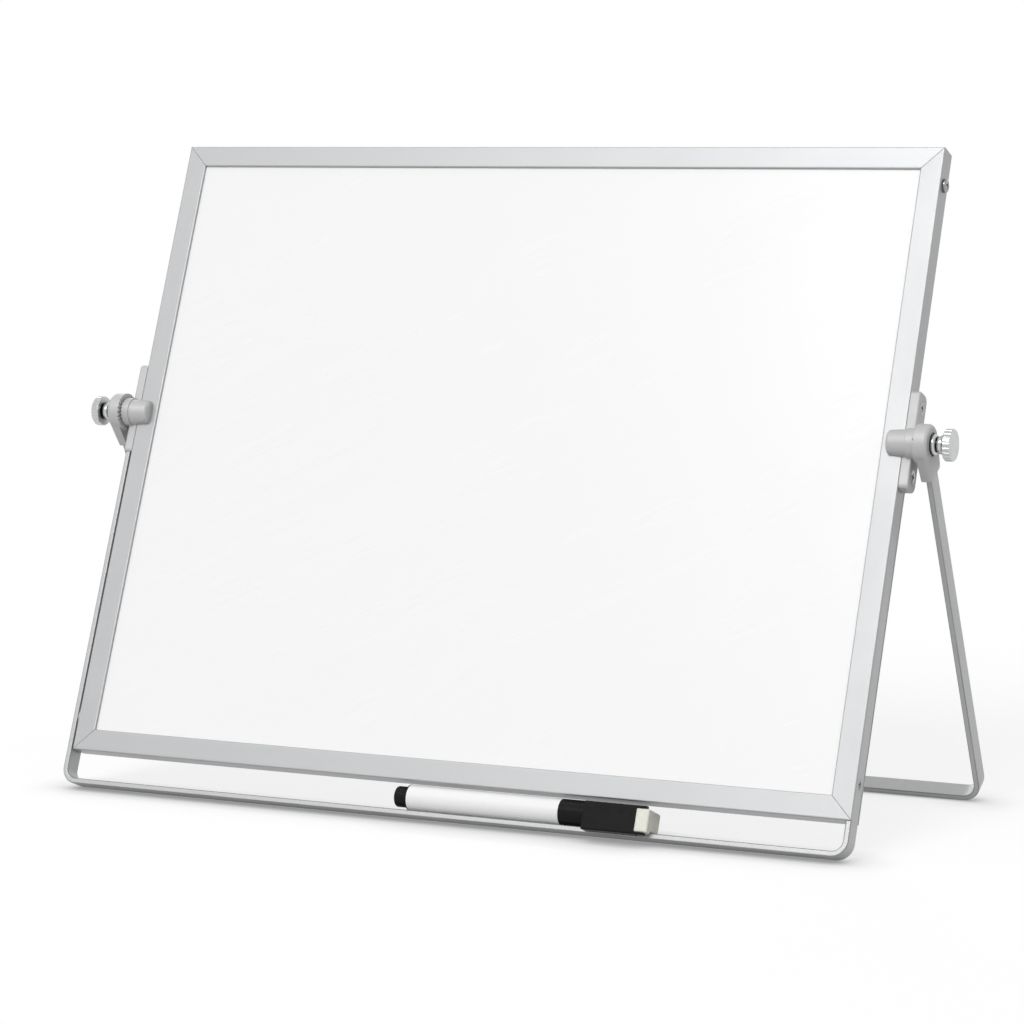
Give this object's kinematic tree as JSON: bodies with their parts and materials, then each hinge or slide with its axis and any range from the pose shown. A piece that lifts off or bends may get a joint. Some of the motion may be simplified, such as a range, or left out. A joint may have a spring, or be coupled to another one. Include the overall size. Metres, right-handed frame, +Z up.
{
  "type": "magnetic desk whiteboard easel",
  "caption": "Framed double-sided magnetic whiteboard on a bent-bar front foot and a swinging rear leg clamped by side knobs, with a capped marker on the foot bar.",
  "frame": {"origin": "centre of the bounding box's footprint, on the surface that the two feet stand on", "axes": "+X to the viewer's right along the pivot axis, +Y from front to back, +Z up"},
  "size_m": [0.3976, 0.1504, 0.2749],
  "materials": {
    "frame_aluminium": "satin anodised extrusion with fine lengthwise drawing lines",
    "writing_enamel": "glossy white dry-erase lacquer on thin steel",
    "core_fibreboard": "plain fibreboard core",
    "key_steel": "stamped steel",
    "bar_paint": "satin silver-grey coating on bent flat steel bar",
    "hinge_grey": "fine-textured grey moulding",
    "screw_chrome": "bright plated screws",
    "insert_brass": "turned brass",
    "clamp_chrome": "polished plating",
    "knob_chrome": "polished fluted head with brushed end face",
    "spacer_nylon": "natural nylon",
    "marker_white": "glossy white polypropylene",
    "marker_black": "satin black polypropylene",
    "ink_felt": "black ink-soaked felt",
    "eraser_felt": "cream pressed felt",
    "magnet_nickel": "nickel-plated magnet"
  },
  "bodies": {
    "board": {"bracket_screws": "screw_chrome", "corner_key_bottom_left": "key_steel", "corner_key_bottom_right": "key_steel", "corner_key_top_left": "key_steel", "corner_key_top_right": "key_steel", "corner_screws": "screw_chrome", "foot_screws": "screw_chrome", "foot_spacers": "spacer_nylon", "frame_bottom_rail": "frame_aluminium", "frame_left_stile": "frame_aluminium", "frame_right_stile": "frame_aluminium", "frame_top_rail": "frame_aluminium", "front_foot_bar": "bar_paint", "nut_plate_left": "key_steel", "nut_plate_right": "key_steel", "panel_core": "core_fibreboard", "pivot_bracket_left": "hinge_grey", "pivot_bracket_right": "hinge_grey", "threaded_insert_left": "insert_brass", "threaded_insert_right": "insert_brass", "writing_sheet_back": "writing_enamel", "writing_sheet_front": "writing_enamel"},
    "rear_leg": {"rear_leg_bar": "bar_paint", "leg_hub_left": "hinge_grey", "leg_hub_right": "hinge_grey"},
    "washer_left": {"clamp_washer_left": "clamp_chrome"},
    "knob_left": {"knob_left": "knob_chrome", "clamp_screw_left": "clamp_chrome"},
    "washer_right": {"clamp_washer_right": "clamp_chrome"},
    "knob_right": {"knob_right": "knob_chrome", "clamp_screw_right": "clamp_chrome"},
    "marker": {"marker_barrel": "marker_white", "marker_plug": "marker_black", "marker_reservoir": "ink_felt", "marker_nib_holder": "marker_white", "marker_nib": "ink_felt"},
    "cap": {"marker_cap": "marker_black", "cap_eraser": "eraser_felt", "cap_magnet": "magnet_nickel"}
  },
  "joints": [
    {"name": "rear_leg_swing", "type": "hinge", "parent": "board", "child": "rear_leg", "pos_m": [0, -0.00744, 0.15848], "axis": [1, 0, 0], "range_deg": [-49.3, 180]},
    {"name": "washer_left_slide", "type": "slide", "parent": "board", "child": "washer_left", "axis": [-1, 0, 0], "range_m": [0, 0.0014]},
    {"name": "knob_left_turn", "type": "hinge", "parent": "washer_left", "child": "knob_left", "pos_m": [0, -0.00744, 0.15848], "axis": [-1, 0, 0], "range_deg": [0, 720]},
    {"name": "washer_right_slide", "type": "slide", "parent": "board", "child": "washer_right", "axis": [1, 0, 0], "range_m": [0, 0.0014]},
    {"name": "knob_right_turn", "type": "hinge", "parent": "washer_right", "child": "knob_right", "pos_m": [0, -0.00744, 0.15848], "axis": [1, 0, 0], "range_deg": [0, 720]},
    {"name": "marker_lift_out", "type": "slide", "parent": "board", "child": "marker", "axis": [0, -0.9239, 0.3827], "range_m": [0, 0.035]},
    {"name": "cap_pull_off", "type": "slide", "parent": "marker", "child": "cap", "axis": [1, 0, 0], "range_m": [0, 0.026]}
  ],
  "couplings": [
    {"joint": "knob_left_turn", "follows": "washer_left_slide", "rad_per_m": 8976},
    {"joint": "knob_right_turn", "follows": "washer_right_slide", "rad_per_m": 8976}
  ]
}
